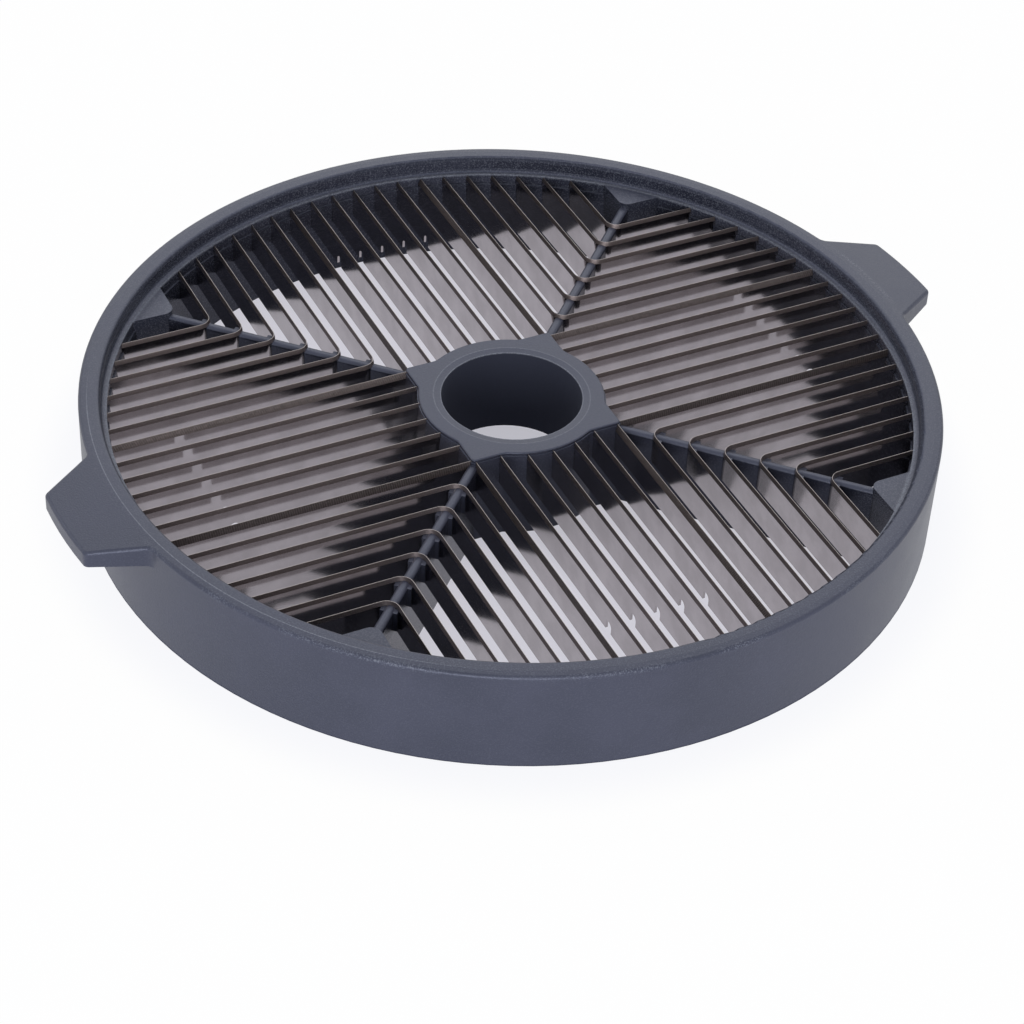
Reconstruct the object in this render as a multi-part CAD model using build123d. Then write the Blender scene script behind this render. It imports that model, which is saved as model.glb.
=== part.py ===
from build123d import *
import os
from math import atan, degrees, floor, isclose, radians, sqrt, tan

os.makedirs("parts", exist_ok=True)

# Wedge cutting grid: a moulded ring with a hub, four diagonal ribs and two lugs, holding a
# square grid of thin steel blades. Millimetres, +Z up, the base on z = 0, the ring's axis on Z.
# The blades run along X on the left and right and along Y at the front and back.

# Ring wall: a rim with a sloping shoulder outside, and inside a ledge with a hollow rounding
# behind it, a step and a drafted face
ring_radius = 100.4
ring_height = 26.2
rim_width = 5.0
rim_inner_round = 1.0
shoulder_width = 2.0
shoulder_slope = 0.11
shoulder_round = 0.8
ledge_width = 1.4
ledge_depth = 4.1
ledge_round = 1.0
wall_step = 0.4
wall_step_depth = 2.9
wall_draft = 1.4
foot_round = 0.6

# Lugs: two flat ears half a turn apart, each a little to one side of the ring's middle line,
# with a tip that is an arc about the ring's axis
lug_length = 12.0
lug_width = 22.6
lug_shift = 6.8
lug_depth = 5.4
lug_front_flare = 32.0
lug_back_flare = 21.0
lug_corner_round = 1.5
lug_root_round = 2.5

# Hub: a drafted block, round on the sides and square at the corners, under a thin top plate
bore_radius = 16.6
bore_rim_width = 1.8
bore_rim_depth = 0.25
hub_wall = 5.3
hub_bulge = 2.9
hub_proud = 0.1
hub_plate = 0.8
hub_lip = 0.25
hub_draft = 1.4
hub_corner_round = 1.0
hub_blend_round = 3.0
hub_edge_round = 0.35

# Blades: flat strips with a cutting edge ground on both faces of the top. A thin one is ground alike
# on both, and a thick one more steeply on the face that looks away from the sector's middle.
pitch = 6.0
blade_height = 7.5
blade_cover = 0.4
edge_land = 0.1
thin_blade = 0.6
thin_bevel = 1.1
thick_blade = 1.0
thick_outer_bevel = 1.9
thick_inner_bevel = 1.5
thick_edge_shift = 0.15
thick_blade_cover = 0.4
bend_radius = 3.0
ring_grip = 2.0
hub_grip = 2.0
corner_gap = 0.1

# Keyhole in the lower edge of each straight blade
keyhole_inset = 19.7
keyhole_width = 2.5
keyhole_height = 2.6

# Ribs from the hub's corners to the gussets, and the posts that back the bent blades
rib_width = 2.4
rib_drop = 0.9
rib_edge_round = 1.0
gusset_depth = 7.9
gusset_round = 2.5
post_half_width = 2.0
post_depth = 1.8
post_drop = 0.4
post_lift = 1.2

# Space between a blade and the plastic moulded round it
slot_clearance = 0.02

# Points nearer to each other than this count as one point
same_place = 0.001

# Radii and heights that follow from the sizes above
crease_radius = ring_radius - shoulder_width
rim_inner_radius = ring_radius - rim_width
upper_wall_radius = rim_inner_radius - ledge_width
lower_wall_radius = upper_wall_radius - wall_step
foot_radius = lower_wall_radius - wall_draft
ledge_height = ring_height - ledge_depth
wall_step_height = ledge_height - wall_step_depth
lug_bottom = ring_height - lug_depth
seat_radius = upper_wall_radius + ring_grip
hub_radius = bore_radius + hub_wall
hub_half_side = hub_radius - hub_bulge
hub_top = ledge_height + hub_proud
hub_lip_height = hub_top - hub_plate
blade_top = ledge_height - blade_cover
blade_bottom = blade_top - blade_height
rib_top = blade_top - rib_drop
post_top = rib_top - post_drop
post_bottom = blade_bottom + post_lift
gusset_corner = (upper_wall_radius - gusset_depth) / sqrt(2)

# Blades counted in steps of the pitch from the middle of each sector: thin straight ones, a thick
# one at each side of the hub, then bent ones that turn over the ribs into the next sector
thick_step = floor((hub_half_side - thick_blade / 2 - thick_blade_cover) / pitch)
last_step = floor(gusset_corner / pitch) - 1
straight_steps = range(1 - thick_step, thick_step)
thick_steps = (-thick_step, thick_step)
bent_steps = range(thick_step + 1, last_step + 1)

sectors = (("right", 0), ("back", 90), ("left", 180), ("front", 270))
ribs = (("back_right", 0), ("back_left", 90), ("front_left", 180), ("front_right", 270))


def rounded(sketch, points, radius):
    corners = [sketch.vertices().sort_by_distance(point)[0] for point in points]
    return fillet(corners, radius)


def distance_from_axis(point):
    return sqrt(point.X**2 + point.Y**2)


def on_ring(point):
    return isclose(distance_from_axis(point), ring_radius, abs_tol=same_place)


def shoulder_z(radius):
    return ring_height - (radius - crease_radius) * shoulder_slope


def ring_wall():
    points = [
        (foot_radius, 0),
        (lower_wall_radius, wall_step_height),
        (upper_wall_radius, wall_step_height),
        (upper_wall_radius, ledge_height),
        (rim_inner_radius, ledge_height),
        (rim_inner_radius, ring_height),
        (crease_radius, ring_height),
        (crease_radius, lug_bottom),
        (ring_radius, lug_bottom),
        (ring_radius, 0),
    ]
    section = Plane.XZ * Polygon(*points, align=None)
    section = rounded(section, [(rim_inner_radius, 0, ring_height)], rim_inner_round)
    section = rounded(section, [(rim_inner_radius, 0, ledge_height)], ledge_round)
    section = rounded(section, [(ring_radius, 0, 0)], foot_round)
    return revolve(section, Axis.Z)


def lug_outline():
    tip_radius = ring_radius + lug_length
    root = upper_wall_radius
    sides = (lug_shift - lug_width / 2, lug_shift, lug_shift + lug_width / 2)
    front, middle, back = [(sqrt(tip_radius**2 - y**2), y) for y in sides]
    root_front = front[1] - (front[0] - root) * tan(radians(lug_front_flare))
    root_back = back[1] + (back[0] - root) * tan(radians(lug_back_flare))
    edges = [
        Line((root, root_front), front),
        ThreePointArc(front, middle, back),
        Line(back, (root, root_back)),
        Line((root, root_back), (root, root_front)),
    ]
    return rounded(make_face(edges), [front, back], lug_corner_round)


def shoulder_and_lugs():
    lug = lug_outline()
    outline = Circle(ring_radius) + lug + Rot(0, 0, 180) * lug
    outline = fillet([v for v in outline.vertices() if on_ring(v)], lug_root_round)
    prism = Pos(0, 0, lug_bottom) * extrude(outline, amount=lug_depth)
    reach = ring_radius + 2 * lug_length
    points = [
        (crease_radius, lug_bottom),
        (reach, lug_bottom),
        (reach, shoulder_z(reach)),
        (crease_radius, ring_height),
    ]
    body = revolve(Plane.XZ * Polygon(*points, align=None), Axis.Z) & prism
    crown = body.faces().filter_by(GeomType.CONE).sort_by(SortBy.AREA)[-1]
    middle_radius = (crease_radius + ring_radius) / 2
    outer_edges = [e for e in crown.edges() if distance_from_axis(e @ 0.5) > middle_radius]
    return fillet(outer_edges, shoulder_round)


def hub_outline(grow):
    half = hub_half_side + grow
    radius = hub_radius + grow
    square = Rectangle(2 * half, 2 * half)
    outline = fillet(square.vertices(), hub_corner_round + grow) + Circle(radius)
    cross = sqrt(radius**2 - half**2)
    joints = []
    for a in (-1, 1):
        for b in (-1, 1):
            joints.append((a * half, b * cross))
            joints.append((a * cross, b * half))
    return rounded(outline, joints, hub_blend_round - grow)


def hub():
    draft_angle = degrees(atan(hub_draft / hub_lip_height))
    body = extrude(hub_outline(hub_lip + hub_draft), amount=hub_lip_height, taper=draft_angle)
    plate = extrude(hub_outline(0), amount=hub_plate)
    plate = fillet(plate.faces().sort_by(Axis.Z)[-1].edges(), hub_edge_round)
    return body + Pos(0, 0, hub_lip_height) * plate


def bore():
    hole = Cylinder(bore_radius, 3 * hub_top)
    rim = Cone(bore_radius, bore_radius + bore_rim_width, bore_rim_depth)
    return hole + Pos(0, 0, hub_top - bore_rim_depth / 2) * rim


def rib():
    start = (hub_half_side - rib_width) * sqrt(2)
    end = gusset_corner * sqrt(2) + gusset_depth / 2
    section = Plane.YZ * Pos(0, rib_top / 2) * Rectangle(rib_width, rib_top)
    top_corners = [(0, -rib_width / 2, rib_top), (0, rib_width / 2, rib_top)]
    section = rounded(section, top_corners, rib_edge_round)
    bar = extrude(Pos(start, 0, 0) * section, amount=end - start, dir=(1, 0, 0))
    return Rot(0, 0, 45) * bar


def gusset():
    ledge_flat = ledge_width - ledge_round
    end_radius = upper_wall_radius + ledge_flat / 2
    size = end_radius - gusset_corner
    centre = gusset_corner + size / 2
    plan = Pos(centre, centre) * Rectangle(size, size)
    plan = rounded(plan, [(gusset_corner, gusset_corner)], gusset_round)
    return extrude(plan & Circle(end_radius), amount=ledge_height)


def post(step):
    bend = (step * pitch + bend_radius) * sqrt(2)
    near = bend - bend_radius
    far = near + thin_blade / 2 + post_depth
    strip = Pos((near + far) / 2, 0) * Rectangle(far - near, 2 * post_half_width)
    plan = strip & (Pos(bend, 0) * Circle(bend_radius))
    return Rot(0, 0, 45) * Pos(0, 0, post_bottom) * extrude(plan, amount=post_top - post_bottom)


def blade_section(thickness, near_bevel, far_bevel, edge, grow):
    half = thickness / 2 + grow
    land = edge_land / 2 + grow
    points = [
        (-half, blade_bottom - grow),
        (half, blade_bottom - grow),
        (half, blade_top - far_bevel),
        (edge + land, blade_top + grow),
        (edge - land, blade_top + grow),
        (-half, blade_top - near_bevel),
    ]
    return Polygon(*points, align=None)


def thin_section(grow):
    return blade_section(thin_blade, thin_bevel, thin_bevel, 0, grow)


def thick_section(side, grow):
    bevels = (thick_inner_bevel, thick_outer_bevel)[::side]
    return blade_section(thick_blade, *bevels, side * thick_edge_shift, grow)


def rim_end(offset, grow):
    return sqrt(seat_radius**2 - offset**2) + grow


def hub_face(offset):
    return max(hub_half_side, sqrt(hub_radius**2 - offset**2))


def bent_blade(step, grow):
    offset = step * pitch
    centre = offset + bend_radius
    run = rim_end(offset, grow) - centre
    section = thin_section(grow)
    right_start = Pos(centre, offset, 0) * (Plane.YZ * section)
    back_start = Pos(offset, centre, 0) * (Plane.XZ * section)
    right_leg = extrude(right_start, amount=run, dir=(1, 0, 0))
    back_leg = extrude(back_start, amount=run, dir=(0, 1, 0))
    bend = revolve(right_start, Axis((centre, centre, 0), (0, 0, -1)), 90)
    return right_leg + bend + back_leg


def strip_blade(section, offset, start, grow):
    root = Pos(start - grow, offset, 0) * (Plane.YZ * section)
    run = rim_end(offset, grow) - start + grow
    return extrude(root, amount=run, dir=(1, 0, 0))


def straight_blade(step, grow):
    offset = step * pitch
    start = hub_face(offset) - hub_grip
    return strip_blade(thin_section(grow), offset, start, grow)


def corner_blade(step, grow):
    offset = step * pitch
    clear_of_neighbour = abs(offset) + thick_blade / 2 + corner_gap
    start = max(hub_face(offset) - hub_grip, clear_of_neighbour)
    side = 1 if step > 0 else -1
    return strip_blade(thick_section(side, grow), offset, start, grow)


def keyhole(step):
    radius = keyhole_width / 2
    distance = upper_wall_radius - keyhole_inset
    foot = blade_bottom - keyhole_height
    shoulder = blade_bottom + keyhole_height - radius
    shape = Pos(distance, (foot + shoulder) / 2) * Rectangle(keyhole_width, shoulder - foot)
    shape = shape + Pos(distance, shoulder) * Circle(radius)
    return Pos(0, step * pitch, 0) * extrude(Plane.XZ * shape, amount=thin_blade, both=True)


# The moulding in one piece, then a slot for every blade that it is moulded round
frame = ring_wall() + shoulder_and_lugs() + hub()
for name, angle in ribs:
    frame = frame + Rot(0, 0, angle) * rib() + Rot(0, 0, angle) * gusset()
    frame = frame + [Rot(0, 0, angle) * post(step) for step in bent_steps]
frame = frame - bore()

slots = []
for name, angle in ribs:
    slots += [Rot(0, 0, angle) * bent_blade(step, slot_clearance) for step in bent_steps]
for name, angle in sectors:
    slots += [Rot(0, 0, angle) * straight_blade(step, slot_clearance) for step in straight_steps]
    slots += [Rot(0, 0, angle) * corner_blade(step, slot_clearance) for step in thick_steps]
frame = frame - slots
export_step(frame.solid(), "parts/frame.step")

for name, angle in ribs:
    for number, step in enumerate(bent_steps, 1):
        blade = Rot(0, 0, angle) * bent_blade(step, 0)
        export_step(blade.solid(), f"parts/bent_blade_{name}_{number}.step")

for name, angle in sectors:
    for number, step in enumerate(straight_steps, 1):
        blade = Rot(0, 0, angle) * (straight_blade(step, 0) - keyhole(step))
        export_step(blade.solid(), f"parts/straight_blade_{name}_{number}.step")
    for number, step in enumerate(thick_steps, 1):
        blade = Rot(0, 0, angle) * corner_blade(step, 0)
        export_step(blade.solid(), f"parts/corner_blade_{name}_{number}.step")
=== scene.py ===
import math

import bpy
from mathutils import Matrix, Vector


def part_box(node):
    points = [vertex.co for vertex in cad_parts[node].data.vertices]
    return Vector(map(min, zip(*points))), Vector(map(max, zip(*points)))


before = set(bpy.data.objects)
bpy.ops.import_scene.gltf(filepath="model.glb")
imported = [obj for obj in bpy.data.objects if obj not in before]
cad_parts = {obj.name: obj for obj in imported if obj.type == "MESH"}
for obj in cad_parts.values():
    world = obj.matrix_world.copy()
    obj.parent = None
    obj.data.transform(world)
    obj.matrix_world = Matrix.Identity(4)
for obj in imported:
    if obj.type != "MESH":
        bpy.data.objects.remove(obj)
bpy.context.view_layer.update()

MM = 0.001

# Camera: its place and direction, its roll in radians, its lens and sensor in mm, and its near and far limits
CAMERA_PLACE = Vector((-238.1, -456.6, 417.3)) * MM
CAMERA_FORWARD = Vector((0.3566, 0.6789, -0.6417))
CAMERA_ROLL = 0.055
CAMERA_LENS = 97.36
SENSOR_WIDTH = 36.0
CLIP_START = 0.01
CLIP_END = 50.0

# Heights and radii of the moulding that its finish follows, taken from the frame where it gives them
FRAME_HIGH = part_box("frame")[1]
RIM_TOP = FRAME_HIGH[2]
RING_RADIUS = FRAME_HIGH[1]
CREASE_RADIUS = RING_RADIUS - 2.0 * MM
RIM_INNER_RADIUS = RING_RADIUS - 5.0 * MM
LEDGE_RADIUS = RIM_INNER_RADIUS - 1.4 * MM
LEDGE_HEIGHT = RIM_TOP - 4.1 * MM
WALL_STEP_HEIGHT = LEDGE_HEIGHT - 2.9 * MM
HUB_TOP = LEDGE_HEIGHT + 0.1 * MM
BORE_RADIUS = 16.6 * MM
BORE_RIM_RADIUS = BORE_RADIUS + 1.8 * MM
BLADE_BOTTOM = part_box("straight_blade_front_3")[0][2]

# Where one finish of the moulding gives way to the next, and where the painted shade of the inner walls and
# the foot begins and ends: the two radii or heights between which it fades
INSIDE_RING_FADE = (RIM_INNER_RADIUS + 0.5 * MM, RIM_INNER_RADIUS + 0.8 * MM)
ABOVE_LEDGE_FADE = (LEDGE_HEIGHT + 0.2 * MM, LEDGE_HEIGHT + 0.5 * MM)
BELOW_RIM_FADE = (RIM_TOP - 0.4 * MM, RIM_TOP - 0.1 * MM)
BORE_FADE = (BORE_RADIUS, BORE_RADIUS + 0.1 * MM)
BLADE_BOTTOM_FADE = (BLADE_BOTTOM, BLADE_BOTTOM + MM)
FOOT_COLOUR_FADE = (0.2 * MM, 0.9 * MM)
FOOT_ROUGHNESS_FADE = (0.3 * MM, 1.2 * MM)

# How far a face looks upward (the height of its normal) where one finish gives way to the next, and where the
# painted shade of the upright inner walls fades out
UPRIGHT_FADE = (0.3, 0.6)
ROUNDING_FADE = (0.1, 0.3)
BEVEL_FADE = (0.04, 0.08)
LAND_FADE = (0.7, 0.9)

# Colours, as linear red, green and blue
PLASTIC_DARK = (0.037, 0.041, 0.063, 1)
PLASTIC_LIGHT = (0.046, 0.050, 0.076, 1)
# Painted shade: the darker colour laid on the upright walls inside the ring and at the foot
PLASTIC_PAINTED_SHADE = (0.016, 0.018, 0.030, 1)
# Pale grain, wear and painted highlight, used for the specks and the edge lines
PLASTIC_PALE_WEAR_AND_HIGHLIGHT = (0.19, 0.205, 0.25, 1)
PLASTIC_SHEEN_TINT = (0.74, 0.79, 1.0, 1)
STEEL_DARK = (0.40, 0.373, 0.372, 1)
STEEL_LIGHT = (0.47, 0.44, 0.44, 1)
THIN_GROUND_DARK = (0.205, 0.174, 0.175, 1)
THIN_GROUND_LIGHT = (0.24, 0.206, 0.207, 1)
THICK_GROUND_DARK = (0.085, 0.072, 0.072, 1)
THICK_GROUND_LIGHT = (0.15, 0.128, 0.128, 1)
EDGE_LAND = (0.27, 0.246, 0.241, 1)
FLOOR_COLOUR = (0.80, 0.80, 0.94, 1)
# Painted shade: the lilac tint of the floor's glow inside the ring
FLOOR_INSIDE_SHADE_TINT = (0.93, 0.92, 1.0, 1)
# Painted shadow: the lilac tint of the floor's glow close around the ring
FLOOR_SHADOW_TINT = (0.97, 0.975, 1.0, 1)
WHITE = (1.0, 1.0, 1.0, 1)

# Roughness: two values where it changes over the surface, which are those of the plastic's clouds, of the
# inside walls under the blades and above their lower edge, and of the rolled steel
PLASTIC_ROUGHNESS = (0.36, 0.42)
INNER_WALL_ROUGHNESS = (0.16, 0.25)
ROUNDING_ROUGHNESS = 0.8
FOOT_ROUGHNESS = 0.85
BORE_ROUGHNESS = 0.8
ROLLED_ROUGHNESS = (0.10, 0.14)
THIN_GROUND_ROUGHNESS = 0.38
THICK_GROUND_ROUGHNESS = 0.5

# How strongly the plastic mirrors, and how far painted shade darkens its colour at the foot
PLASTIC_SPECULAR = 0.45
FOOT_DARKENING = 0.7

# Texture: the size and detail of each noise, the spacing of the grinding marks, the ranges that are used, and
# the relief of grain, rolling and edges
CLOUD_SIZE = 18 * MM
CLOUD_DETAIL = 4.0
PATCH_SIZE = 22 * MM
GRAIN_SIZE = 0.38 * MM
SPECK_SIZE = 0.36 * MM
ROLLING_SIZE = 0.12 * MM
ROLLING_STRETCH = (0.03, 0.03, 1.0)
STAIN_SIZE = 7 * MM
MARK_SPACING = 0.55 * MM
MARK_BREAK_SIZE = 0.4 * MM
MARK_RANGE = (-1.2, 1.2)
COARSE_DETAIL = 3.0
COARSE_ROUGHNESS = 0.55
FINE_DETAIL = 2.0
FINE_ROUGHNESS = 0.6
MIDDLE_RANGE = (0.3, 0.7)
GRAIN_HEIGHT = 0.06 * MM
GRAIN_STRENGTH = 1.0
ROLLING_HEIGHT = 0.0005 * MM
ROLLING_STRENGTH = 0.2
EDGE_ROUND = 0.15 * MM
BEVEL_SAMPLES = 4

# Pale specks on the plastic, partly the grain's own tone and partly painted glints on it: their range of the
# noise, how strong they are on the inner parts and on the ring's inside wall, and the share that is left on
# the rim's top and at its outer edge
SPECK_RANGE = (0.48, 0.66)
SPECK_STRENGTH = (0.06, 0.3)
SPECK_RISE = (LEDGE_RADIUS - 12 * MM, LEDGE_RADIUS - 6 * MM)
RIM_TOP_FADE = (RIM_INNER_RADIUS, RIM_INNER_RADIUS + 0.4 * MM)
RIM_TOP_SHARE = 0.6
OUTER_EDGE_SHARE = 0.4

# Pale edge lines: the rim's crease is a painted highlight that shows on the left alone, and its brow is wear
# with painted highlight, in patches of broken specks
CREASE_FADE_X = (-75 * MM, -40 * MM)
CREASE_FADE_Y = (20 * MM, 45 * MM)
CREASE_HALF_WIDTH = 0.2 * MM
BROW_RADIUS = RING_RADIUS - 0.3 * MM
BROW_HEIGHT = RIM_TOP - 0.5 * MM
BROW_HALF_WIDTH = 1.0 * MM
BROW_PATCH_RANGE = (0.4, 0.65)
BROW_STRENGTH = 0.6
BROW_SPECK_RANGE = (0.45, 0.62)
EDGE_SPECK_RANGE = (0.35, 0.65)
EDGE_SPECK_LEAST = 0.4

# The other pale edge lines, painted highlights with some wear - the ledge, the step under it and the bore's
# two rims: radius, height, half width and strength
WORN_AND_HIGHLIT_EDGES = (
    (LEDGE_RADIUS + 0.1 * MM, LEDGE_HEIGHT, 0.7 * MM, 1.0),
    (LEDGE_RADIUS, WALL_STEP_HEIGHT, 0.3 * MM, 0.25),
    (BORE_RIM_RADIUS, HUB_TOP, 0.25 * MM, 0.5),
    (BORE_RADIUS, HUB_TOP - 0.25 * MM, 0.35 * MM, 1.0),
)

# Floor: its size, how far it lies under the part, and the share of it that is plain white in the bore, inside
# the ring, close to the ring and away from it. Within the ring and close to it, this white is painted light
# that lightens the floor's shade.
FLOOR_SIZE = 6.0
FLOOR_GAP = 0.05 * MM
GLOW_BORE = 0.46
GLOW_INSIDE = 0.55
GLOW_NEAR = 0.93
GLOW_OUTSIDE = 0.98
BORE_GLOW_REACH = 3 * BORE_RADIUS
SHADOW_REACH = 16 * MM

# Sky: its strength as light, and as it is seen and mirrored
SKY_STRENGTH = 0.45
SKY_SEEN = 1.0

# Lamps: name, place in metres, size in metres and power in watts
LAMPS = (
    ("back_light", (0.6, 1.1, 1.15), 1.6, 8.5),
    ("back_left_light", (-0.9, 1.1, 0.8), 0.5, 2.0),
    ("front_light", (-0.75, -1.3, 0.3), 1.0, 21.0),
)


class Nodes:
    """A material's node tree, with short calls for the few kinds of node used here."""

    def __init__(self, name):
        self.material = bpy.data.materials.new(name)
        self.material.use_nodes = True
        self.tree = self.material.node_tree
        self.tree.nodes.clear()

    def add(self, kind, **settings):
        made = self.tree.nodes.new(kind)
        for key, value in settings.items():
            setattr(made, key, value)
        return made

    def feed(self, socket, value):
        """Link the socket to another one, or set it to a plain value."""
        if isinstance(value, bpy.types.NodeSocket):
            self.tree.links.new(value, socket)
        else:
            socket.default_value = value

    def math(self, operation, a, b):
        made = self.add("ShaderNodeMath", operation=operation)
        self.feed(made.inputs[0], a)
        self.feed(made.inputs[1], b)
        return made.outputs[0]

    def times(self, a, b):
        return self.math("MULTIPLY", a, b)

    def place(self):
        return self.add("ShaderNodeTexCoord").outputs["Object"]

    def split(self, vector):
        made = self.add("ShaderNodeSeparateXYZ")
        self.feed(made.inputs[0], vector)
        return made.outputs

    def facing(self, normal):
        """How far the surface looks upward, by its shaded or its true normal."""
        return self.split(self.add("ShaderNodeNewGeometry").outputs[normal])["Z"]

    def stretch(self, vector, scale):
        made = self.add("ShaderNodeVectorMath", operation="MULTIPLY")
        self.feed(made.inputs[0], vector)
        made.inputs[1].default_value = scale
        return made.outputs[0]

    def radius(self, vector):
        """The distance from the ring's axis."""
        made = self.add("ShaderNodeVectorMath", operation="LENGTH")
        self.feed(made.inputs[0], self.stretch(vector, (1.0, 1.0, 0.0)))
        return made.outputs["Value"]

    def noise(self, vector, size, detail=COARSE_DETAIL, roughness=COARSE_ROUGHNESS):
        made = self.add("ShaderNodeTexNoise")
        self.feed(made.inputs["Vector"], vector)
        made.inputs["Scale"].default_value = 1.0 / size
        made.inputs["Detail"].default_value = detail
        made.inputs["Roughness"].default_value = roughness
        return made.outputs["Fac"]

    def span(self, value, low, high, to_low=0.0, to_high=1.0):
        """A smooth step of value between low and high, from to_low to to_high."""
        made = self.add("ShaderNodeMapRange", interpolation_type="SMOOTHSTEP")
        self.feed(made.inputs["Value"], value)
        made.inputs["From Min"].default_value = low
        made.inputs["From Max"].default_value = high
        made.inputs["To Min"].default_value = to_low
        made.inputs["To Max"].default_value = to_high
        return made.outputs["Result"]

    def fade(self, value, low, high):
        """1 below low, falling smoothly to 0 at high."""
        return self.span(value, low, high, 1.0, 0.0)

    def band(self, value, centre, half_width):
        """1 on a line where value is centre, fading to 0 at half_width to each side."""
        away = self.math("ABSOLUTE", self.math("SUBTRACT", value, centre), 0.0)
        return self.fade(away, 0.0, half_width)

    def mix(self, factor, a, b):
        """A mix of two colours. Its sockets go by number, because the node's names repeat."""
        made = self.add("ShaderNodeMix", data_type="RGBA")
        self.feed(made.inputs[0], factor)
        self.feed(made.inputs[6], a)
        self.feed(made.inputs[7], b)
        return made.outputs[2]

    def blend(self, factor, a, b):
        """A mix of two numbers."""
        made = self.add("ShaderNodeMix", data_type="FLOAT")
        self.feed(made.inputs[0], factor)
        self.feed(made.inputs[2], a)
        self.feed(made.inputs[3], b)
        return made.outputs[0]

    def soft_edges(self, radius):
        made = self.add("ShaderNodeBevel", samples=BEVEL_SAMPLES)
        made.inputs["Radius"].default_value = radius
        return made.outputs["Normal"]

    def bump(self, height, distance, strength, normal=None):
        made = self.add("ShaderNodeBump")
        self.feed(made.inputs["Height"], height)
        made.inputs["Distance"].default_value = distance
        made.inputs["Strength"].default_value = strength
        if normal is not None:
            self.feed(made.inputs["Normal"], normal)
        return made.outputs["Normal"]

    def finish(self, surface):
        out = self.add("ShaderNodeOutputMaterial")
        self.feed(out.inputs["Surface"], surface)
        return self.material

    def shader(self, colour, roughness, normal, **constants):
        made = self.add("ShaderNodeBsdfPrincipled")
        self.feed(made.inputs["Base Color"], colour)
        self.feed(made.inputs["Roughness"], roughness)
        self.feed(made.inputs["Normal"], normal)
        for key, value in constants.items():
            made.inputs[key.replace("_", " ")].default_value = value
        return self.finish(made.outputs["BSDF"])


def worn_and_highlit_edges(nodes, place, speck):
    """Where the moulding is pale along its edges, partly from wear and partly as painted highlight: the rim,
    the ledge, the step under it and the bore's rims.
    """
    axes = nodes.split(place)
    radius = nodes.radius(place)

    def line(at_radius, at_height, half_width, strength):
        across = nodes.times(nodes.band(radius, at_radius, half_width), strength)
        return nodes.times(across, nodes.band(axes["Z"], at_height, half_width))

    on_left = nodes.times(nodes.fade(axes["X"], *CREASE_FADE_X), nodes.fade(axes["Y"], *CREASE_FADE_Y))
    patches = nodes.noise(place, PATCH_SIZE, FINE_DETAIL)
    on_brow = nodes.span(patches, *BROW_PATCH_RANGE, 0.0, BROW_STRENGTH)
    broken = nodes.times(on_brow, nodes.span(speck, *BROW_SPECK_RANGE))
    edges = [
        # Painted highlight: the crease, on the left alone
        line(CREASE_RADIUS, RIM_TOP, CREASE_HALF_WIDTH, on_left),
        # Wear with painted highlight: the brow
        line(BROW_RADIUS, BROW_HEIGHT, BROW_HALF_WIDTH, broken),
    ]
    edges += [line(*edge) for edge in WORN_AND_HIGHLIT_EDGES]
    wear_and_highlight = edges[0]
    for edge in edges[1:]:
        wear_and_highlight = nodes.math("MAXIMUM", wear_and_highlight, edge)
    return nodes.times(wear_and_highlight, nodes.span(speck, *EDGE_SPECK_RANGE, EDGE_SPECK_LEAST, 1.0))


def speckles(nodes, place, speck):
    """Pale specks of the moulding's grain, partly its own tone and partly painted glints, strongest on the
    ring's inside wall and absent in the bore.
    """
    radius = nodes.radius(place)
    strength = nodes.span(radius, *SPECK_RISE, *SPECK_STRENGTH)
    for share in (
        nodes.span(radius, *RIM_TOP_FADE, 1.0, RIM_TOP_SHARE),
        nodes.span(radius, CREASE_RADIUS, RING_RADIUS, 1.0, OUTER_EDGE_SHARE),
        nodes.span(radius, *BORE_FADE),
    ):
        strength = nodes.times(strength, share)
    return nodes.times(nodes.span(speck, *SPECK_RANGE), strength)


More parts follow.
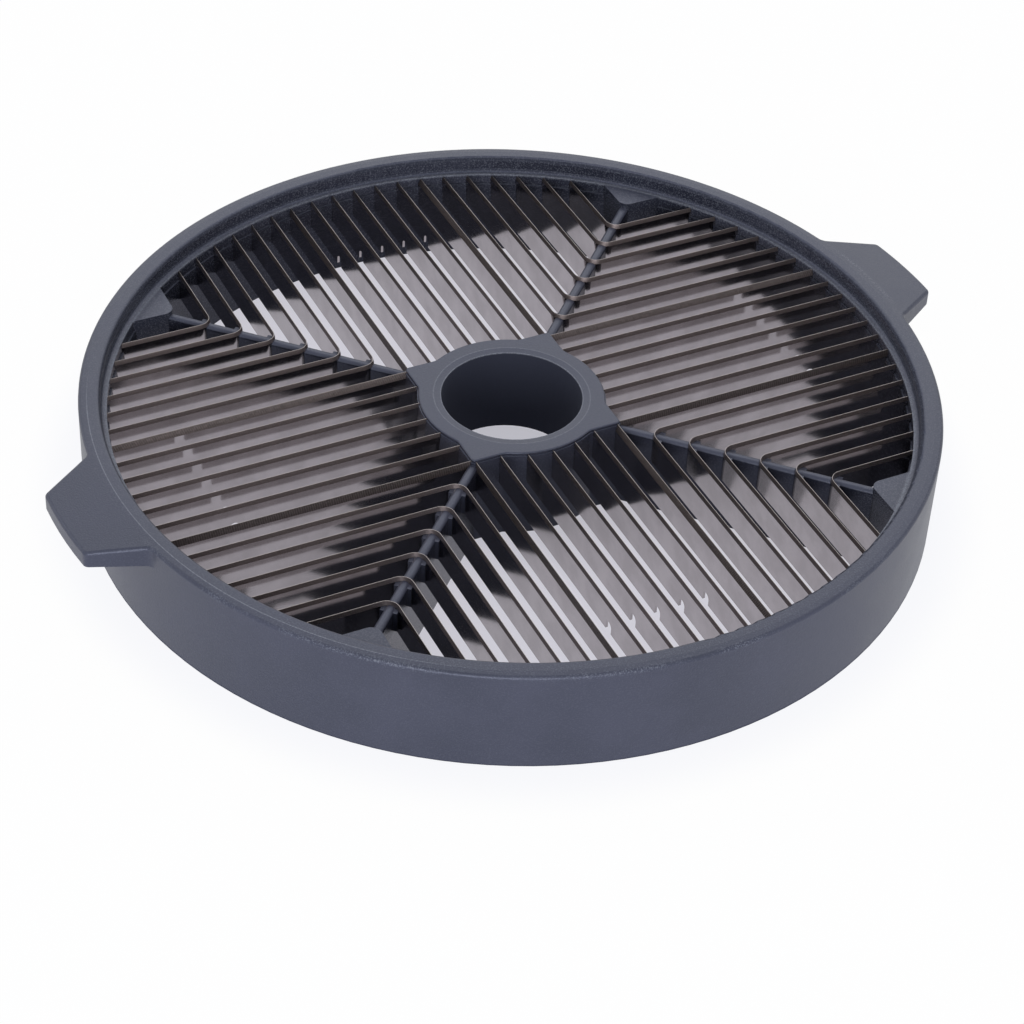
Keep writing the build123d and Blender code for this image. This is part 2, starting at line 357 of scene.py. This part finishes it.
def moulded_plastic():
    """Dark grained plastic: smoother on the upright walls inside, with painted shade darkening them and the
    foot, and pale lines along some edges that are partly wear and partly painted highlight.
    """
    nodes = Nodes("moulded_plastic")
    place = nodes.place()
    radius = nodes.radius(place)
    z = nodes.split(place)["Z"]
    facing = nodes.facing("Normal")
    cloud = nodes.noise(place, CLOUD_SIZE, CLOUD_DETAIL)
    grain = nodes.noise(place, GRAIN_SIZE, FINE_DETAIL, FINE_ROUGHNESS)
    speck = nodes.noise(place, SPECK_SIZE, FINE_DETAIL, FINE_ROUGHNESS)

    inside_ring = nodes.fade(radius, *INSIDE_RING_FADE)
    rim_to_ledge = nodes.times(nodes.span(z, *ABOVE_LEDGE_FADE), nodes.fade(z, *BELOW_RIM_FADE))
    upper_wall = nodes.times(inside_ring, rim_to_ledge)
    upright = nodes.fade(facing, *UPRIGHT_FADE)
    inner_wall = nodes.times(inside_ring, nodes.math("MAXIMUM", upright, upper_wall))
    rounding = nodes.times(upper_wall, nodes.span(facing, *ROUNDING_FADE))
    outside_ring = nodes.math("SUBTRACT", 1.0, inside_ring)
    foot = nodes.times(nodes.fade(z, *FOOT_ROUGHNESS_FADE), outside_ring)

    colour = nodes.mix(nodes.span(cloud, *MIDDLE_RANGE), PLASTIC_DARK, PLASTIC_LIGHT)
    # Painted shade: the upright walls inside the ring, and the wall above the ledge, are darkened
    colour = nodes.mix(inner_wall, colour, PLASTIC_PAINTED_SHADE)
    # Painted glints: pale specks on the grain, partly its own tone
    colour = nodes.mix(speckles(nodes, place, speck), colour, PLASTIC_PALE_WEAR_AND_HIGHLIGHT)
    # Painted highlight: pale lines along the rim, ledge, step and bore rims, partly wear
    colour = nodes.mix(worn_and_highlit_edges(nodes, place, speck), colour, PLASTIC_PALE_WEAR_AND_HIGHLIGHT)
    # Painted shade: the colour darkens within the lowest millimetre, where the part meets the floor
    colour = nodes.mix(nodes.span(z, *FOOT_COLOUR_FADE, FOOT_DARKENING, 0.0), colour, PLASTIC_PAINTED_SHADE)

    roughness = nodes.span(cloud, *MIDDLE_RANGE, *PLASTIC_ROUGHNESS)
    wall_roughness = nodes.span(z, *BLADE_BOTTOM_FADE, *INNER_WALL_ROUGHNESS)
    roughness = nodes.blend(inner_wall, roughness, wall_roughness)
    roughness = nodes.blend(rounding, roughness, ROUNDING_ROUGHNESS)
    roughness = nodes.blend(foot, roughness, FOOT_ROUGHNESS)
    roughness = nodes.blend(nodes.fade(radius, *BORE_FADE), roughness, BORE_ROUGHNESS)

    normal = nodes.bump(grain, GRAIN_HEIGHT, GRAIN_STRENGTH, nodes.soft_edges(EDGE_ROUND))
    return nodes.shader(
        colour, roughness, normal, Specular_IOR_Level=PLASTIC_SPECULAR, Specular_Tint=PLASTIC_SHEEN_TINT
    )


def blade_steel(name, ground_dark, ground_light, ground_roughness):
    """Rolled steel strip, with fine cross marks from the grinding on every face that looks upward."""
    nodes = Nodes(name)
    place = nodes.place()
    axes = nodes.split(place)
    rolling = nodes.noise(nodes.stretch(place, ROLLING_STRETCH), ROLLING_SIZE, FINE_DETAIL, FINE_ROUGHNESS)
    stain = nodes.noise(place, STAIN_SIZE)
    along = nodes.math("ADD", axes["X"], axes["Y"])
    marks = nodes.math("SINE", nodes.times(along, math.tau / MARK_SPACING), 0.0)
    breaks = nodes.span(nodes.noise(place, MARK_BREAK_SIZE), *MIDDLE_RANGE, -1.0, 1.0)
    marks = nodes.math("ADD", marks, breaks)
    facing = nodes.facing("True Normal")
    on_bevel = nodes.span(facing, *BEVEL_FADE)

    rolled = nodes.mix(nodes.span(stain, *MIDDLE_RANGE), STEEL_DARK, STEEL_LIGHT)
    ground = nodes.mix(nodes.span(marks, *MARK_RANGE), ground_dark, ground_light)
    colour = nodes.mix(on_bevel, rolled, ground)
    colour = nodes.mix(nodes.span(facing, *LAND_FADE), colour, EDGE_LAND)
    rolled_roughness = nodes.span(rolling, *MIDDLE_RANGE, *ROLLED_ROUGHNESS)
    roughness = nodes.blend(on_bevel, rolled_roughness, ground_roughness)
    normal = nodes.bump(rolling, ROLLING_HEIGHT, ROLLING_STRENGTH)
    return nodes.shader(colour, roughness, normal, Metallic=1.0)


def floor_material():
    """Pale floor that is partly plain white where it is seen or mirrored, and keeps the part's shadow, which
    painted light lightens by an amount that changes with the distance from the axis, and which has a painted
    lilac tint inside the ring and close around it.
    """
    nodes = Nodes("pale_floor")
    diffuse = nodes.add("ShaderNodeBsdfDiffuse")
    diffuse.inputs["Color"].default_value = FLOOR_COLOUR
    path = nodes.add("ShaderNodeLightPath").outputs
    mirrored = nodes.math("MAXIMUM", path["Is Glossy Ray"], path["Is Transmission Ray"])
    seen = nodes.math("MAXIMUM", path["Is Camera Ray"], mirrored)

    radius = nodes.radius(nodes.place())
    outside = nodes.span(radius, LEDGE_RADIUS, CREASE_RADIUS)
    away = nodes.span(radius, RING_RADIUS, RING_RADIUS + SHADOW_REACH)
    # Painted light: the glow lightens the shaded floor in the bore and inside the ring
    inside_share = nodes.span(radius, BORE_RADIUS, BORE_GLOW_REACH, GLOW_BORE, GLOW_INSIDE)
    share = nodes.blend(outside, inside_share, nodes.blend(away, GLOW_NEAR, GLOW_OUTSIDE))
    # Painted shadow: a lilac tint on the glow close around the ring
    outside_shadow_tint = nodes.mix(away, FLOOR_SHADOW_TINT, WHITE)

    glow = nodes.add("ShaderNodeEmission")
    nodes.feed(glow.inputs["Color"], nodes.mix(outside, FLOOR_INSIDE_SHADE_TINT, outside_shadow_tint))
    surface = nodes.add("ShaderNodeMixShader")
    nodes.feed(surface.inputs[0], nodes.times(seen, share))
    nodes.feed(surface.inputs[1], diffuse.outputs[0])
    nodes.feed(surface.inputs[2], glow.outputs[0])
    return nodes.finish(surface.outputs[0])


def dress_parts():
    plastic = moulded_plastic()
    thin = blade_steel("blade_steel", THIN_GROUND_DARK, THIN_GROUND_LIGHT, THIN_GROUND_ROUGHNESS)
    thick = blade_steel("corner_blade_steel", THICK_GROUND_DARK, THICK_GROUND_LIGHT, THICK_GROUND_ROUGHNESS)
    for name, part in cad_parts.items():
        if name == "frame":
            finish = plastic
        elif name.startswith("corner_blade"):
            finish = thick
        else:
            finish = thin
        if not part.material_slots:
            part.data.materials.append(finish)
        for slot in part.material_slots:
            slot.material = finish


def lay_floor():
    bpy.ops.mesh.primitive_plane_add(size=FLOOR_SIZE, location=(0, 0, -FLOOR_GAP))
    floor = bpy.context.object
    floor.name = "floor"
    floor.data.materials.append(floor_material())


def light_scene():
    world = bpy.data.worlds.new("studio")
    bpy.context.scene.world = world
    world.use_nodes = True
    tree = world.node_tree
    background = tree.nodes["Background"]
    background.inputs["Color"].default_value = WHITE
    path = tree.nodes.new("ShaderNodeLightPath")
    seen = path.outputs["Is Camera Ray"]
    for ray in ("Is Glossy Ray", "Is Transmission Ray"):
        either = tree.nodes.new("ShaderNodeMath")
        either.operation = "MAXIMUM"
        tree.links.new(seen, either.inputs[0])
        tree.links.new(path.outputs[ray], either.inputs[1])
        seen = either.outputs[0]
    strength = tree.nodes.new("ShaderNodeMapRange")
    tree.links.new(seen, strength.inputs["Value"])
    strength.inputs["To Min"].default_value = SKY_STRENGTH
    strength.inputs["To Max"].default_value = SKY_SEEN
    tree.links.new(strength.outputs[0], background.inputs["Strength"])
    for name, place, size, power in LAMPS:
        lamp = bpy.data.lights.new(name, "AREA")
        lamp.size = size
        lamp.energy = power
        lamp_object = bpy.data.objects.new(name, lamp)
        lamp_object.location = place
        lamp_object.rotation_euler = (-Vector(place)).to_track_quat("-Z", "Y").to_euler()
        bpy.context.scene.collection.objects.link(lamp_object)


def place_camera():
    data = bpy.data.cameras.new("camera")
    data.lens = CAMERA_LENS
    data.sensor_width = SENSOR_WIDTH
    data.clip_start = CLIP_START
    data.clip_end = CLIP_END
    forward = CAMERA_FORWARD.normalized()
    level = forward.cross(Vector((0, 0, 1))).normalized()
    above = level.cross(forward)
    right = level * math.cos(CAMERA_ROLL) + above * math.sin(CAMERA_ROLL)
    up = above * math.cos(CAMERA_ROLL) - level * math.sin(CAMERA_ROLL)
    turn = Matrix((right, up, -forward)).transposed().to_4x4()
    camera = bpy.data.objects.new("camera", data)
    camera.matrix_world = Matrix.Translation(CAMERA_PLACE) @ turn
    bpy.context.scene.collection.objects.link(camera)
    bpy.context.scene.camera = camera


bpy.context.scene.view_settings.view_transform = "Standard"
dress_parts()
lay_floor()
light_scene()
place_camera()
